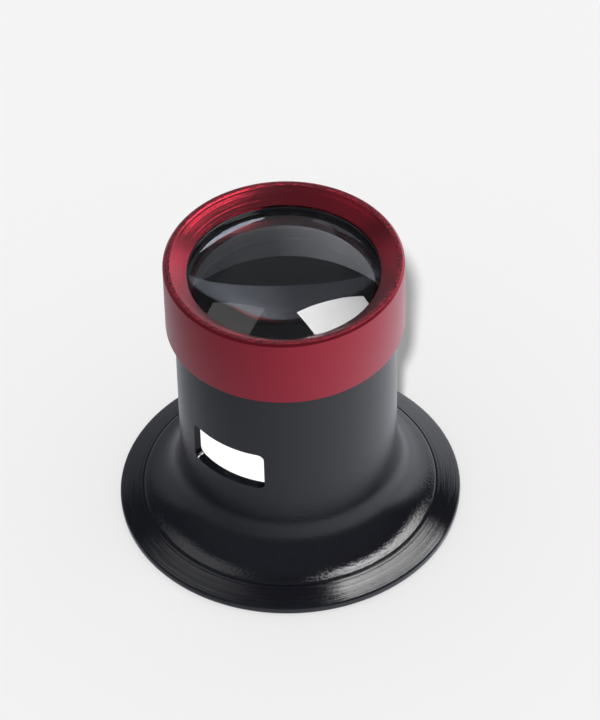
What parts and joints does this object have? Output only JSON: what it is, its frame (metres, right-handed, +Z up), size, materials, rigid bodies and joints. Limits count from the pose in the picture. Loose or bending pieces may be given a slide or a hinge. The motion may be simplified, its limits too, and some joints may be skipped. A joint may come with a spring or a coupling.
{
  "type": "jewelers loupe",
  "caption": "Screw-top eye loupe: flared black eyecup with a slot window, and a red ring that screws down over a black clamp ring and the lenses.",
  "frame": {"origin": "middle of the flat face that the brim rests on", "axes": "+Z up the barrel to the red ring, -Y through the middle of the window"},
  "size_m": [0.038, 0.038, 0.035],
  "materials": {
    "black_anodised": "black anodised turned aluminium, glossy flare and satin barrel",
    "red_anodised": "red anodised aluminium, satin outside, fine turned cone inside",
    "gloss_black": "glossy black",
    "optical_glass": "polished optical glass",
    "fibre": "matt black washer"
  },
  "bodies": {
    "eyecup": {"eyecup": "black_anodised", "seat_washer": "fibre", "lower_lens": "optical_glass", "lens_spacer": "gloss_black", "upper_lens": "optical_glass"},
    "clamp": {"clamp_ring": "gloss_black"},
    "bezel": {"bezel_ring": "red_anodised"}
  },
  "joints": [
    {"name": "bezel_lift", "type": "slide", "parent": "eyecup", "child": "clamp", "axis": [0, 0, 1], "range_m": [0, 0.004]},
    {"name": "bezel_turn", "type": "hinge", "parent": "clamp", "child": "bezel", "pos_m": [0, 0, 0.03], "axis": [0, 0, 1], "range_deg": [0, 1440]}
  ],
  "couplings": [
    {"joint": "bezel_lift", "follows": "bezel_turn", "m_per_rad": 0.00015915}
  ]
}
